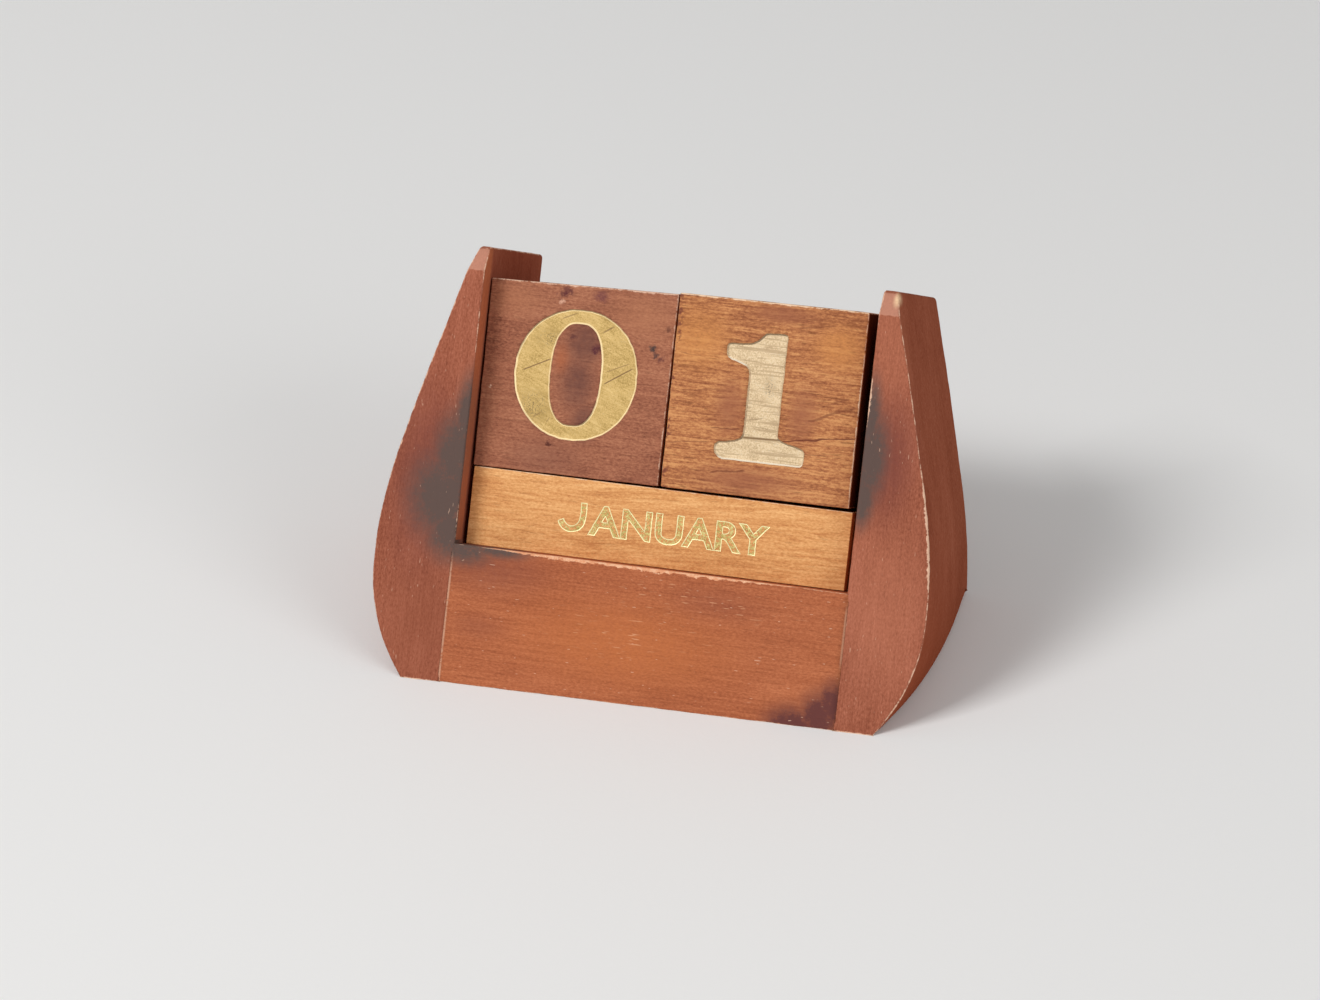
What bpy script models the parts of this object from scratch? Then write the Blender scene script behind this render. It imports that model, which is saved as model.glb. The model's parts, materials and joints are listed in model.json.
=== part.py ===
"""Perpetual desk calendar in wood.

Two number cubes stand on a row of reversible month slats, between two bulging cheeks. The whole tray leans
back, and everything under it is cut off level, so it rests on one flat foot.

Every piece is drawn in the tray's own frame and parented to one empty that leans back with the tray:
x to the right, y back from the front face, z up along the cheeks, zero at the bottom front edge.
"""

import math

import bmesh
import bpy
from mathutils import Matrix, Vector

# Tray: the wedge under it sets how far it leans back
FIT_GAP = 0.0003
FLOOR_HEIGHT = 0.0276
HEEL_HEIGHT = 0.0035
FRONT_LEDGE = 0.0052
PANEL_THICKNESS = 0.0065
PANEL_DROP = 0.0060
TRAY_ARRIS = 0.0006

# Number cubes
TENS_SIDE = 0.0380
UNITS_SIDE = 0.0385
CUBE_ARRIS = 0.0005
CUBE_PLAY_LEFT = 0.0005
CUBE_PLAY_RIGHT = 0.0023

# Month slats: together they are as deep as the smaller cube, so their faces line up
SLAT_COUNT = 6
SLAT_HEIGHT = 0.0154
SLAT_PLAY_LEFT = 0.0008
SLAT_PLAY_RIGHT = 0.0016
SLAT_ARRIS = 0.0004

# Cheeks: thick at the bulge, thinner at the foot and thin at the top
CHEEK_RISE = 0.0050
CHEEK_FOOT_THICKNESS = 0.0083
CHEEK_BULGE_THICKNESS = 0.0164
CHEEK_TOP_THICKNESS = 0.0026
BULGE_HEIGHT_SHARE = 0.30
UPPER_ROUND_SHARE = 0.26
LOWER_CURVE_POWER = 2.55
LOWER_CURVE_STEPS = 14
UPPER_CURVE_STEPS = 22
FACET_HEIGHT = 0.0049
FACET_DEPTH = 0.0032

# Dowels that pin the cheeks to the base block
DOWEL_RADIUS = 0.0030
DOWEL_LENGTH = 0.0220
DOWEL_CHAMFER = 0.0006
DOWEL_END_GAP = 0.0004
DOWEL_SIDES = 24
DOWEL_FRONT_SHARE = 0.26
DOWEL_BACK_SHARE = 0.64

# Angles and counts for rounded arrises
ARRIS_SEGMENTS = 2
ARRIS_ANGLE = math.radians(25)
SMOOTH_ANGLE = math.radians(35)

# Sizes worked out from those above
tray_width = CUBE_PLAY_LEFT + TENS_SIDE + FIT_GAP + UNITS_SIDE + CUBE_PLAY_RIGHT
inner_left = -tray_width / 2
inner_right = tray_width / 2
slat_stack = min(TENS_SIDE, UNITS_SIDE)
slat_pitch = (slat_stack + FIT_GAP) / SLAT_COUNT
slat_thickness = slat_pitch - FIT_GAP
bed_depth = max(TENS_SIDE, UNITS_SIDE)
wedge_depth = FRONT_LEDGE + bed_depth
lean = math.atan2(FLOOR_HEIGHT - HEEL_HEIGHT, wedge_depth)
panel_front = wedge_depth + FIT_GAP
tray_depth = panel_front + PANEL_THICKNESS
slat_bottom = FLOOR_HEIGHT + FIT_GAP
cube_bottom = slat_bottom + SLAT_HEIGHT + FIT_GAP
cheek_height = cube_bottom + max(TENS_SIDE, UNITS_SIDE) + CHEEK_RISE
panel_top = cube_bottom + min(TENS_SIDE, UNITS_SIDE) - PANEL_DROP
overall_depth = tray_depth * math.cos(lean) + cheek_height * math.sin(lean)

# Finishes: colour, roughness, metallic
WOODS = {
    "cheek_wood": ((0.270, 0.075, 0.036, 1.0), 0.45, 0.0),
    "rail_wood": ((0.300, 0.088, 0.040, 1.0), 0.45, 0.0),
    "tens_wood": ((0.190, 0.058, 0.030, 1.0), 0.50, 0.0),
    "units_wood": ((0.330, 0.125, 0.045, 1.0), 0.50, 0.0),
    "slat_wood": ((0.520, 0.215, 0.075, 1.0), 0.50, 0.0),
    "dowel_wood": ((0.560, 0.380, 0.210, 1.0), 0.60, 0.0),
}


def clear_scene():
    for obj in list(bpy.data.objects):
        bpy.data.objects.remove(obj, do_unlink=True)


def wood_material(name):
    colour, roughness, metallic = WOODS[name]
    material = bpy.data.materials.new(name)
    material.use_nodes = True
    shader = material.node_tree.nodes["Principled BSDF"]
    shader.inputs["Base Color"].default_value = colour
    shader.inputs["Roughness"].default_value = roughness
    shader.inputs["Metallic"].default_value = metallic
    material.diffuse_color = colour
    return material


def leaning_frame():
    """An empty at the bottom front edge, leaning back with the tray."""
    frame = bpy.data.objects.new("tray_frame", None)
    frame.location = (0.0, -overall_depth / 2, 0.0)
    frame.rotation_euler = (-lean, 0.0, 0.0)
    bpy.context.scene.collection.objects.link(frame)
    return frame


def foot_height(depth):
    """Height of the level foot plane, in the tray's frame, at a depth behind the front face."""
    return depth * math.tan(lean)


def make_object(name, bm, material, frame, place=(0.0, 0.0, 0.0)):
    bmesh.ops.recalc_face_normals(bm, faces=bm.faces)
    mesh = bpy.data.meshes.new(name)
    bm.to_mesh(mesh)
    bm.free()
    if material:
        mesh.materials.append(material)
    obj = bpy.data.objects.new(name, mesh)
    obj.parent = frame
    obj.location = place
    bpy.context.scene.collection.objects.link(obj)
    return obj


def round_arrises(obj, width):
    bevel = obj.modifiers.new("arrises", "BEVEL")
    bevel.width = width
    bevel.segments = ARRIS_SEGMENTS
    bevel.limit_method = "ANGLE"
    bevel.angle_limit = ARRIS_ANGLE


def cut_away(bm, point, normal):
    """Take off what lies on the normal's side of a plane, and close the cut."""
    geometry = bm.verts[:] + bm.edges[:] + bm.faces[:]
    cut = bmesh.ops.bisect_plane(bm, geom=geometry, plane_co=point, plane_no=normal, clear_outer=True)
    rim = [item for item in cut["geom_cut"] if isinstance(item, bmesh.types.BMEdge)]
    bmesh.ops.edgeloop_fill(bm, edges=rim)


def extruded(points, along):
    """A solid from a flat outline, drawn out along a vector."""
    bm = bmesh.new()
    face = bm.faces.new([bm.verts.new(point) for point in points])
    drawn = bmesh.ops.extrude_face_region(bm, geom=[face])
    moved = [item for item in drawn["geom"] if isinstance(item, bmesh.types.BMVert)]
    bmesh.ops.translate(bm, verts=moved, vec=along)
    return bm


def rounded_slope(share, round_share):
    """A slope from 0 to 1 that starts level and bends into a straight run, as a hyperbola does."""
    return (math.hypot(share, round_share) - round_share) / (math.hypot(1, round_share) - round_share)


def cheek_thickness(height):
    """The cheek's outline: a power curve below the bulge, and a rounded slope above it."""
    bulge_height = BULGE_HEIGHT_SHARE * cheek_height
    if height < bulge_height:
        drawn_in = CHEEK_BULGE_THICKNESS - CHEEK_FOOT_THICKNESS
        return CHEEK_BULGE_THICKNESS - drawn_in * (1 - height / bulge_height) ** LOWER_CURVE_POWER
    slope = rounded_slope((height - bulge_height) / (cheek_height - bulge_height), UPPER_ROUND_SHARE)
    return CHEEK_BULGE_THICKNESS - (CHEEK_BULGE_THICKNESS - CHEEK_TOP_THICKNESS) * slope


def cheek_heights():
    bulge_height = BULGE_HEIGHT_SHARE * cheek_height
    lower = [bulge_height * step / LOWER_CURVE_STEPS for step in range(LOWER_CURVE_STEPS)]
    upper_length = cheek_height - bulge_height
    upper = [bulge_height + upper_length * step / UPPER_CURVE_STEPS for step in range(UPPER_CURVE_STEPS + 1)]
    return lower + upper


def cheek(name, side, material, frame):
    """A cheek with its bulging outline, sloping front facet at the top and level foot."""
    inner = side * tray_width / 2
    outline = [(inner, 0.0, 0.0)]
    outline += [(inner + side * cheek_thickness(height), 0.0, height) for height in cheek_heights()]
    outline += [(inner, 0.0, cheek_height)]
    bm = extruded(outline, (0.0, tray_depth, 0.0))
    facet_normal = (0.0, -FACET_HEIGHT, FACET_DEPTH)
    cut_away(bm, (0.0, 0.0, cheek_height - FACET_HEIGHT), Vector(facet_normal).normalized())
    cut_away(bm, (0.0, 0.0, 0.0), (0.0, math.sin(lean), -math.cos(lean)))
    obj = make_object(name, bm, material, frame)
    round_arrises(obj, TRAY_ARRIS)
    return obj


def between_cheeks(name, profile, material, frame):
    """A piece glued between the cheeks, from its side view as (depth, height) points."""
    left = inner_left + FIT_GAP
    points = [(left, depth, height) for depth, height in profile]
    obj = make_object(name, extruded(points, (tray_width - 2 * FIT_GAP, 0.0, 0.0)), material, frame)
    round_arrises(obj, TRAY_ARRIS)
    return obj


def base_block(material, frame):
    """The wedge under the tray: its front is the rail, its top the floor and its underside the foot."""
    heel = foot_height(wedge_depth)
    profile = [(0.0, 0.0), (0.0, FLOOR_HEIGHT), (wedge_depth, FLOOR_HEIGHT), (wedge_depth, heel)]
    return between_cheeks("base_block", profile, material, frame)


def back_panel(material, frame):
    """The panel that the cubes and slats lean on, from the foot to just under the cubes' top."""
    profile = [
        (panel_front, foot_height(panel_front)),
        (panel_front, panel_top),
        (tray_depth, panel_top),
        (tray_depth, foot_height(tray_depth)),
    ]
    return between_cheeks("back_panel", profile, material, frame)


def loose_block(name, size, centre, arris, material, frame):
    """A cube or a slat, with its origin at its own centre."""
    bm = bmesh.new()
    bmesh.ops.create_cube(bm, size=1.0)
    bmesh.ops.scale(bm, vec=size, verts=bm.verts)
    obj = make_object(name, bm, material, frame, centre)
    round_arrises(obj, arris)
    return obj


def number_cube(name, side, left, material, frame):
    """A cube that stands on the slats and leans on the back panel."""
    centre = (left + side / 2, panel_front - FIT_GAP - side / 2, cube_bottom + side / 2)
    return loose_block(name, (side, side, side), centre, CUBE_ARRIS, material, frame)


def month_slats(material, frame):
    """The slats stand in a row on the tray's floor, number 1 in front and the last against the panel."""
    left = inner_left + SLAT_PLAY_LEFT
    right = inner_right - SLAT_PLAY_RIGHT
    size = (right - left, slat_thickness, SLAT_HEIGHT)
    front_face = panel_front - FIT_GAP - slat_stack
    for number in range(SLAT_COUNT):
        depth = front_face + number * slat_pitch + slat_thickness / 2
        centre = ((left + right) / 2, depth, slat_bottom + SLAT_HEIGHT / 2)
        loose_block(f"month_slat_{number + 1}", size, centre, SLAT_ARRIS, material, frame)


def rod_mesh(radius, length, chamfer):
    """A round rod along x, centred on its own origin."""
    bm = bmesh.new()
    turned = Matrix.Rotation(math.radians(90), 4, "Y")
    bmesh.ops.create_cone(
        bm, cap_ends=True, segments=DOWEL_SIDES, radius1=radius, radius2=radius, depth=length, matrix=turned
    )
    if chamfer:
        rims = [edge for edge in bm.edges if abs(edge.verts[0].co.x - edge.verts[1].co.x) < chamfer / 2]
        bmesh.ops.bevel(bm, geom=rims, offset=chamfer, segments=1, profile=0.5, affect="EDGES", material=-1)
    return bm


def drill(obj, cutter):
    hole = obj.modifiers.new(cutter.name, "BOOLEAN")
    hole.operation = "DIFFERENCE"
    hole.solver = "EXACT"
    hole.object = cutter


def dowels(side_name, side, cheek_piece, block, material, frame):
    """Two blind dowels across one seam, each in the middle of the wedge at its depth."""
    for place_name, depth_share in (("front", DOWEL_FRONT_SHARE), ("back", DOWEL_BACK_SHARE)):
        depth = depth_share * wedge_depth
        centre = (side * tray_width / 2, depth, (foot_height(depth) + FLOOR_HEIGHT) / 2)
        name = f"dowel_{side_name}_{place_name}"
        rod = make_object(name, rod_mesh(DOWEL_RADIUS, DOWEL_LENGTH, DOWEL_CHAMFER), material, frame, centre)
        rod.data.shade_smooth()
        rod.data.set_sharp_from_angle(angle=SMOOTH_ANGLE)
        bore = rod_mesh(DOWEL_RADIUS + FIT_GAP, DOWEL_LENGTH + 2 * DOWEL_END_GAP, 0.0)
        cutter = make_object(f"{name}_bore", bore, None, frame, centre)
        cutter.hide_render = True
        cutter.display_type = "WIRE"
        drill(cheek_piece, cutter)
        drill(block, cutter)


def build():
    clear_scene()
    woods = {name: wood_material(name) for name in WOODS}
    frame = leaning_frame()
    cheeks = {
        "left": cheek("cheek_left", -1, woods["cheek_wood"], frame),
        "right": cheek("cheek_right", 1, woods["cheek_wood"], frame),
    }
    block = base_block(woods["rail_wood"], frame)
    back_panel(woods["rail_wood"], frame)
    dowels("left", -1, cheeks["left"], block, woods["dowel_wood"], frame)
    dowels("right", 1, cheeks["right"], block, woods["dowel_wood"], frame)
    tens_left = inner_left + CUBE_PLAY_LEFT
    units_left = inner_right - CUBE_PLAY_RIGHT - UNITS_SIDE
    number_cube("cube_tens", TENS_SIDE, tens_left, woods["tens_wood"], frame)
    number_cube("cube_units", UNITS_SIDE, units_left, woods["units_wood"], frame)
    month_slats(woods["slat_wood"], frame)
    bpy.context.view_layer.update()


build()
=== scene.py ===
"""How the perpetual desk calendar looks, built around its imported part.

The tray leans back. Its pieces are shaped in the tray's own frame, in metres: x to the right, y back from the
front face, z up along the cheeks, zero at the bottom front edge. Patterns read that frame in millimetres.
"""

import json
import math

import bmesh
import bpy
from mathutils import Matrix, Vector, noise


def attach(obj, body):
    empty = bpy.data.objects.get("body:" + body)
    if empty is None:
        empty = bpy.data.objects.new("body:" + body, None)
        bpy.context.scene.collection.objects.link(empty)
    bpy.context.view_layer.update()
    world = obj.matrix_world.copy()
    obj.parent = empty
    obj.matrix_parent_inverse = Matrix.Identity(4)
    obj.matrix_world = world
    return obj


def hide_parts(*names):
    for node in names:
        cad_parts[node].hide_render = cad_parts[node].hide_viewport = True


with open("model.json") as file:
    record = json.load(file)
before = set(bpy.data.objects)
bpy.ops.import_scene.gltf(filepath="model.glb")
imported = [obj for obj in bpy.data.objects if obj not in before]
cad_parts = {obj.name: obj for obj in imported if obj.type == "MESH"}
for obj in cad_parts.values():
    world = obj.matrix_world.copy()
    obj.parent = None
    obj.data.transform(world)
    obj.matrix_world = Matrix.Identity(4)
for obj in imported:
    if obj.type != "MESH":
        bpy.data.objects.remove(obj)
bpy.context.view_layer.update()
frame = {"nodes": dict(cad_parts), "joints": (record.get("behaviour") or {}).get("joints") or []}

MM = 0.001

# Camera: fitted to the corners of the cubes, the front slat and the rail
CAMERA_LENS = 160
CAMERA_SENSOR = 36
CAMERA_AZIMUTH = math.radians(13.224)
CAMERA_ELEVATION = math.radians(30.035)
CAMERA_DISTANCE = 1.18454
CAMERA_AIM = Vector((-0.004924, 0.0, 0.022165))

# Studio: the world's light, the floor and the soft boxes
WORLD_LIGHT = 0.36
FLOOR_SIZE = 6.0
FLOOR_COLOUR = (0.86, 0.855, 0.845, 1.0)
SOFT_BOXES = (
    # name, place, width, power in watts
    ("upper_left_softbox", (-0.85, -0.85, 1.25), 0.60, 16.5),
    ("right_softbox", (1.20, -0.80, 0.80), 0.90, 6.0),
)

# Cheek outline, as in the part
CHEEK_FOOT_THICKNESS = 8.3 * MM
CHEEK_BULGE_THICKNESS = 16.4 * MM
CHEEK_TOP_THICKNESS = 2.6 * MM
CHEEK_LEFT_TOP_SPARE = -0.2 * MM
CHEEK_RIGHT_TOP_SPARE = 0.6 * MM
BULGE_HEIGHT_SHARE = 0.30
UPPER_ROUND_SHARE = 0.26
LOWER_CURVE_POWER = 2.55
FACET_HEIGHT = 4.9 * MM
FACET_DEPTH = 3.2 * MM
CHEEK_STEPS = 58
SANDING_WAVE = 0.16 * MM
SANDING_PITCH = 13 * MM

# Arrises: how far each is rounded, and how use has worn them
ARRIS_SEGMENTS = 3
ARRIS_ANGLE = math.radians(25)
TOP_CORNER = 1.3 * MM
HEEL_CORNER = 2.2 * MM
CHEEK_ARRIS = 0.42 * MM
RAIL_ARRIS = 0.30 * MM
PANEL_ARRIS = 0.5 * MM
CUBE_ARRIS = 0.26 * MM
SLAT_ARRIS = 0.18 * MM
TRAY_WEAR = 0.21 * MM
CUBE_WEAR = 0.20 * MM
SLAT_WEAR = 0.11 * MM
WEAR_REACH = 1.1 * MM
WEAR_PITCH = 3.4 * MM
CELL = 1.6 * MM
SEAM_LAP = 0.50 * MM
FAR = 20 * MM

# Foils: how deep each stamp goes, and how wide its sloping wall and the bright band inside that are
TENS_STAMP = (0.16 * MM, 0.20 * MM, 0.22 * MM)
UNITS_STAMP = (0.34 * MM, 0.30 * MM, 0.14 * MM)
WORD_STAMP = (0.02 * MM, 0.12 * MM, 0.12 * MM)
PUNCH_HEIGHT = 2 * MM
PUNCH_REACH = 1.25
BITE_TOLERANCE = 0.002
FOIL_PROUD = 0.015 * MM
WORD_PROUD = 0.045 * MM
FOIL_CREASE = math.radians(20)
FOIL_RIPPLE = 0.03 * MM
FRAY_PITCH = 1.3 * MM
FRAY_STEP = 0.8 * MM

# Month words
WORD_SIZE = 8.05 * MM
WORD_STRETCH = 1.10
WORD_STROKE = 0.25 * MM
WORD_SHIFT = Vector((1.05 * MM, 0.0, 0.0))
LETTER_GAP = 0.5 * MM

ACROSS, UPWARDS = 0, 2


def tray_frame():
    """The tray's lean, and the matrix from its frame to the row's."""
    lift = next(joint for joint in frame["joints"] if joint["name"] == "tens_cube_lift")
    up = Vector(lift["axis"])
    lean = math.atan2(up.y, up.z)
    turn = Matrix.Rotation(-lean, 4, "X")
    back_turn = turn.inverted()
    front = min((back_turn @ vert.co).y for vert in frame["nodes"]["cheek_left"].data.vertices)
    corner = turn @ Vector((0.0, front, front * math.tan(lean)))
    return lean, Matrix.Translation(corner) @ turn


LEAN, TRAY = tray_frame()
INTO_TRAY = TRAY.inverted()


def tray_box(node):
    """Lowest and highest corner of a CAD node in the tray's frame."""
    places = [INTO_TRAY @ vert.co for vert in frame["nodes"][node].data.vertices]
    low = Vector([min(place[axis] for place in places) for axis in range(3)])
    high = Vector([max(place[axis] for place in places) for axis in range(3)])
    return low, high


CHEEK_TOP = tray_box("cheek_left")[1].z
RAIL_TOP = tray_box("base_block")[1].z
# The direction of the painted light on the foil walls: up and to the left on the tray's front.
PAINTED_LIGHT_FROM = TRAY.to_3x3() @ Vector((-0.35, 0.0, 0.94))
INNER_WIDTH = tray_box("cheek_right")[0].x
TENS_CORNER = tray_box("cube_tens")[0] / MM
UNITS_CORNER = tray_box("cube_units")[0] / MM


def foot_height(depth):
    """Height of the tray's foot, in its own frame, at a depth behind its front."""
    return depth * math.tan(LEAN)


# Shaping


def all_of(bm):
    return bm.verts[:] + bm.edges[:] + bm.faces[:]


def block(low, high):
    bm = bmesh.new()
    bmesh.ops.create_cube(bm, size=1.0)
    bmesh.ops.scale(bm, vec=high - low, verts=bm.verts)
    bmesh.ops.translate(bm, vec=(low + high) / 2, verts=bm.verts)
    return bm


def add_to(bm, other):
    """Put a second bmesh into the first."""
    mesh = bpy.data.meshes.new("part")
    other.to_mesh(mesh)
    other.free()
    bm.from_mesh(mesh)
    bpy.data.meshes.remove(mesh)


def cut_away(bm, point, normal):
    """Take off what lies on the normal's side of a plane, and close the cut."""
    cut = bmesh.ops.bisect_plane(bm, geom=all_of(bm), plane_co=point, plane_no=normal, clear_outer=True)
    rim = [item for item in cut["geom_cut"] if isinstance(item, bmesh.types.BMEdge)]
    bmesh.ops.edgeloop_fill(bm, edges=rim)


def cut_into_cells(bm, low, high, axes=(0, 1, 2)):
    """Lines across every face, so that wear and hand can bend them."""
    for axis in axes:
        normal = Vector([float(axis == other) for other in range(3)])
        count = max(2, round((high[axis] - low[axis]) / CELL))
        for step in range(1, count):
            point = normal * (low[axis] + (high[axis] - low[axis]) * step / count)
            bmesh.ops.bisect_plane(bm, geom=all_of(bm), dist=1e-7, plane_co=point, plane_no=normal)


def round_edges(bm, edges, width, segments=ARRIS_SEGMENTS):
    bmesh.ops.bevel(
        bm, geom=edges, offset=width, segments=segments, profile=0.5, affect="EDGES", material=-1
    )


def round_arrises(bm, width, spared=lambda edge: False):
    sharp = [edge for edge in bm.edges if edge.is_manifold and edge.calc_face_angle() > ARRIS_ANGLE]
    round_edges(bm, [edge for edge in sharp if not spared(edge)], width)


def box_gaps(low, high):
    """Distances of a point from the three low faces and the three high faces of a block."""
    return lambda place: (place - low, high - place)


def wear_down(bm, gaps, depth, seed):
    """Work the arrises back unevenly, as use does. An arris is near where the second smallest gap is small."""
    bm.normal_update()
    moved = []
    for vert in bm.verts:
        gap = max(sorted(min(pair) for pair in zip(*gaps(vert.co)))[1], 0.0)
        if gap < WEAR_REACH:
            place = vert.co / WEAR_PITCH + Vector((seed, seed * 1.7, seed * 0.6))
            rough = 0.65 * noise.noise(place) + 0.35 * noise.noise(place * 2.7)
            share = (1 - gap / WEAR_REACH) ** 2
            moved.append((vert, vert.normal * depth * share * max(0.0, 0.45 + rough)))
    for vert, step in moved:
        vert.co -= step


def even_wear(place, low_gap, high_gap):
    return 1.0


def hump(value, middle, reach):
    """1 at the middle, falling to 0 at the reach."""
    return max(0.0, 1.0 - ((value - middle) / reach) ** 2)


def arris_wear(left=1.0, right=1.0, under=1.0, top=1.0):
    """How much the arrises of a block's left, right, under and top faces have paled."""

    def wear(place, low_gap, high_gap):
        sides = ((low_gap.x, left), (high_gap.x, right), (low_gap.z, under), (high_gap.z, top))
        return min(sides)[1]

    return wear


def mark_gaps(bm, gaps, wear=even_wear):
    """Store each vertex's distances from the faces in millimetres and its paleness, for the finish to read."""
    low_layer = bm.verts.layers.float_vector.new("low_gap")
    high_layer = bm.verts.layers.float_vector.new("high_gap")
    wear_layer = bm.verts.layers.float.new("wear")
    for vert in bm.verts:
        low_gap, high_gap = gaps(vert.co)
        vert[low_layer] = low_gap / MM
        vert[high_layer] = high_gap / MM
        vert[wear_layer] = wear(vert.co / MM, low_gap, high_gap)


def out_of_square(low, high, corners):
    """A move for a hand-cut block whose four corners, seen from the front, lie a little off their places.

    corners: (x, z) shifts in millimetres of the low left, low right, high left and high right corner."""
    low_left, low_right, high_left, high_right = [Vector((x, 0.0, z)) * MM for x, z in corners]

    def move(place):
        across = (place.x - low.x) / (high.x - low.x)
        rise = (place.z - low.z) / (high.z - low.z)
        bottom = low_left.lerp(low_right, across)
        top = high_left.lerp(high_right, across)
        return place + bottom.lerp(top, rise)

    return move


def bend(bm, move):
    for vert in bm.verts:
        vert.co = move(vert.co)


def new_object(name, bm, materials, place=TRAY):
    mesh = bpy.data.meshes.new(name)
    bm.transform(place)
    bm.to_mesh(mesh)
    bm.free()
    for material in materials:
        mesh.materials.append(material)
    obj = bpy.data.objects.new(name, mesh)
    bpy.context.scene.collection.objects.link(obj)
    return obj


def finished(name, bm, material, body, node=None):
    """A shaped piece as an object that rides on its body and stands for its CAD node."""
    obj = new_object(name, bm, [material])
    obj.data.shade_smooth()
    if node:
        even = obj.modifiers.new("even_normals", "WEIGHTED_NORMAL")
        even.weight = 100
        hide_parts(node)
    else:
        obj.data.set_sharp_from_angle(angle=FOIL_CREASE)
    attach(obj, body)
    return obj


# Tray pieces


def rounded_slope(share, round_share):
    """A slope from 0 to 1 that starts level and bends into a straight run, as a hyperbola does."""
    return (math.hypot(share, round_share) - round_share) / (math.hypot(1, round_share) - round_share)


def cheek_thickness(height, cheek_height, top_spare):
    bulge_height = BULGE_HEIGHT_SHARE * cheek_height
    if height < bulge_height:
        drawn_in = CHEEK_BULGE_THICKNESS - CHEEK_FOOT_THICKNESS
        return CHEEK_BULGE_THICKNESS - drawn_in * (1 - max(height, 0.0) / bulge_height) ** LOWER_CURVE_POWER
    share = (height - bulge_height) / (cheek_height - bulge_height)
    slope = rounded_slope(share, UPPER_ROUND_SHARE)
    return CHEEK_BULGE_THICKNESS - (CHEEK_BULGE_THICKNESS - CHEEK_TOP_THICKNESS - top_spare) * slope


def left_wear(place, low_gap, high_gap):
    """The left cheek: a thin broken line outside, a few nicks inside, and a rubbed top."""
    top = hump(place.z, 88.0, 10.0)
    if place.y > 4.0:
        return 0.25 + 0.7 * top
    if high_gap.x < low_gap.x:
        return 0.75 + 0.4 * hump(place.z, 60.0, 22.0) + 0.5 * top
    return 0.45 + 0.5 * hump(place.z, 71.0, 6.0) + 0.4 * hump(place.z, 33.0, 5.0) + 0.8 * top


def right_wear(place, low_gap, high_gap):
    """The right cheek: rubbed bare along its outer arris, most of all at hand height."""
    top = hump(place.z, 88.0, 10.0)
    if place.y > 4.0:
        return 0.25 + 0.3 * top
    if high_gap.x < low_gap.x:
        return 0.85 + 1.4 * hump(place.z, 40.0, 13.0) + 0.5 * hump(place.z, 8.0, 8.0)
    return 0.20 + 1.6 * hump(place.z, 65.0, 6.0) + 0.9 * top


def cheek(name, side, node, top_spare, wear, material):
    low, high = tray_box(node)
    height, depth = high.z, high.y
    inner = low.x if side > 0 else high.x
    facet_normal = Vector((0.0, -FACET_HEIGHT, FACET_DEPTH)).normalized()
    facet_point = Vector((0.0, 0.0, height - FACET_HEIGHT))
    foot_normal = Vector((0.0, math.sin(LEAN), -math.cos(LEAN)))

    def thickness(tall):
        """The outline, with the slight waves that a hand-held sander leaves."""
        wave = noise.noise((side * 5.0, 0.0, tall / SANDING_PITCH))
        return cheek_thickness(tall, height, top_spare) - SANDING_WAVE * (1 + wave)

    bm = block(Vector((0.0, 0.0, 0.0)), Vector((1.0, depth, height)))
    for step in range(1, CHEEK_STEPS):
        point = (0.0, 0.0, height * step / CHEEK_STEPS)
        bmesh.ops.bisect_plane(bm, geom=all_of(bm), plane_co=point, plane_no=(0, 0, 1))
    for vert in bm.verts:
        vert.co.x = inner + side * (thickness(vert.co.z) if vert.co.x > 0.5 else 0.0)
    cut_away(bm, facet_point, facet_normal)
    cut_away(bm, Vector(), foot_normal)
    bmesh.ops.recalc_face_normals(bm, faces=bm.faces)
    top = [
        edge for edge in bm.edges
        if min(vert.co.z for vert in edge.verts) > height - 0.1 * MM
        and abs(edge.verts[0].co.y - edge.verts[1].co.y) < 0.1 * MM
    ]
    round_edges(bm, top, TOP_CORNER, 4)
    heel = [
        edge for edge in bm.edges
        if all(abs(foot_normal.dot(vert.co)) < 0.01 * MM for vert in edge.verts)
        and all(abs(vert.co.x - inner) > 1 * MM for vert in edge.verts)
    ]
    round_edges(bm, heel, HEEL_CORNER)
    round_arrises(bm, CHEEK_ARRIS)
    cut_into_cells(bm, low, high)

    def gaps(place):
        """The inner face doesn't count where the rail is glued to it."""
        from_inner = side * (place.x - inner)
        from_outer = thickness(place.z) - from_inner
        from_front = min(place.y, facet_normal.dot(facet_point - place))
        open_side = from_inner if place.z > RAIL_TOP else FAR
        low_gap = Vector((open_side, from_front, -foot_normal.dot(place)))
        return low_gap, Vector((from_outer, depth - place.y, height - place.z))

    mark_gaps(bm, gaps, wear)
    wear_down(bm, gaps, TRAY_WEAR, 3.0 + side)
    for vert in bm.verts:
        vert.co.y = min(max(vert.co.y, 0.0), depth)
        vert.co.z = min(max(vert.co.z, foot_height(vert.co.y)), height)
    return finished(name, bm, material, "tray", node)


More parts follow.
